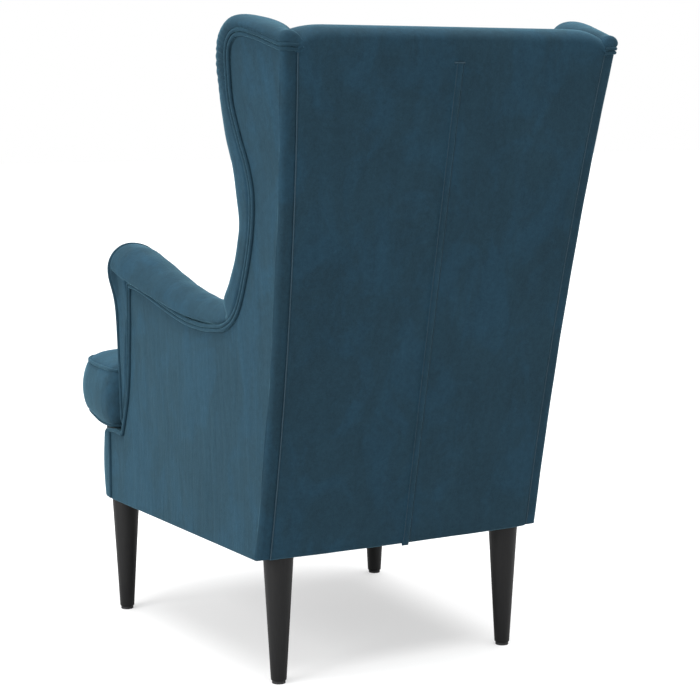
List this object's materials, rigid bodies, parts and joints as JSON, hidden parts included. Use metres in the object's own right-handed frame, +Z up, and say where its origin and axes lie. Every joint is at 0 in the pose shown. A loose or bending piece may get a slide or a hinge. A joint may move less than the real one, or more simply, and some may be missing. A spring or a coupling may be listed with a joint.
{
  "type": "upholstered armchair",
  "caption": "Wing armchair on tapered round legs, with rolled padded arms, flared wings, raked high back with a centre zip placket and a loose T-shaped seat cushion",
  "frame": {"origin": "middle of the footprint at floor level", "axes": "+Z up, the sitter faces -Y, +X is the sitter's left, symmetric about X = 0 except the placket"},
  "size_m": [0.6464, 0.8656, 1.042],
  "materials": {
    "velvet": "short petrol blue velvet pile, soft mottled sheen",
    "black_leg_wood": "black stain, satin",
    "glide_nylon": "moulded nylon",
    "zinc_steel": "zinc plated",
    "beech_timber": "planed, unfinished",
    "plywood": "birch plywood, unfinished",
    "black_webbing": "woven webbing and zip tape",
    "dust_cloth": "nonwoven cloth",
    "deck_cloth": "plain woven deck cloth"
  },
  "bodies": {
    "chair": {"leg_rear_left": "black_leg_wood", "glide_rear_left": "glide_nylon", "leg_bolt_rear_left": "zinc_steel", "leg_plate_rear_left": "zinc_steel", "leg_rear_right": "black_leg_wood", "glide_rear_right": "glide_nylon", "leg_bolt_rear_right": "zinc_steel", "leg_plate_rear_right": "zinc_steel", "leg_front_left": "black_leg_wood", "glide_front_left": "glide_nylon", "leg_bolt_front_left": "zinc_steel", "leg_plate_front_left": "zinc_steel", "leg_front_right": "black_leg_wood", "glide_front_right": "glide_nylon", "leg_bolt_front_right": "zinc_steel", "leg_plate_front_right": "zinc_steel", "seat_rail_front": "beech_timber", "seat_rail_rear": "beech_timber", "seat_rail_left": "beech_timber", "seat_rail_right": "beech_timber", "corner_block_front_left": "beech_timber", "corner_block_front_right": "beech_timber", "corner_block_rear_left": "beech_timber", "corner_block_rear_right": "beech_timber", "seat_spring_1": "zinc_steel", "seat_spring_2": "zinc_steel", "seat_spring_3": "zinc_steel", "seat_spring_4": "zinc_steel", "front_border": "velvet", "seat_deck": "deck_cloth", "dust_cover": "dust_cloth", "side_frame_left": "plywood", "side_frame_right": "plywood", "side_panel_left": "velvet", "side_panel_right": "velvet", "inside_arm_pad_left": "velvet", "inside_arm_pad_right": "velvet", "inside_wing_pad_left": "velvet", "inside_wing_pad_right": "velvet", "wing_roll_left": "velvet", "wing_roll_right": "velvet", "arm_roll_left": "velvet", "arm_roll_right": "velvet", "arm_facing_left": "velvet", "arm_facing_right": "velvet", "back_rail_lower": "beech_timber", "back_rail_middle": "beech_timber", "back_rail_top": "beech_timber", "back_webbing_1": "black_webbing", "back_webbing_2": "black_webbing", "back_webbing_3": "black_webbing", "inside_back_pad": "velvet", "outside_back_left": "velvet", "outside_back_right": "velvet", "zip_tape_left": "black_webbing", "zip_tape_right": "black_webbing", "placket_flap": "velvet", "placket_end": "velvet"},
    "seat_cushion": {"seat_cushion": "velvet"},
    "zip_slider": {"zip_slider": "zinc_steel"}
  },
  "joints": [
    {"name": "cushion_lift", "type": "slide", "parent": "chair", "child": "seat_cushion", "axis": [0, 0, 1], "range_m": [0, 0.3]},
    {"name": "zip_slide", "type": "slide", "parent": "chair", "child": "zip_slider", "axis": [0, 0.1981, 0.9802], "range_m": [0, 0.735]}
  ]
}
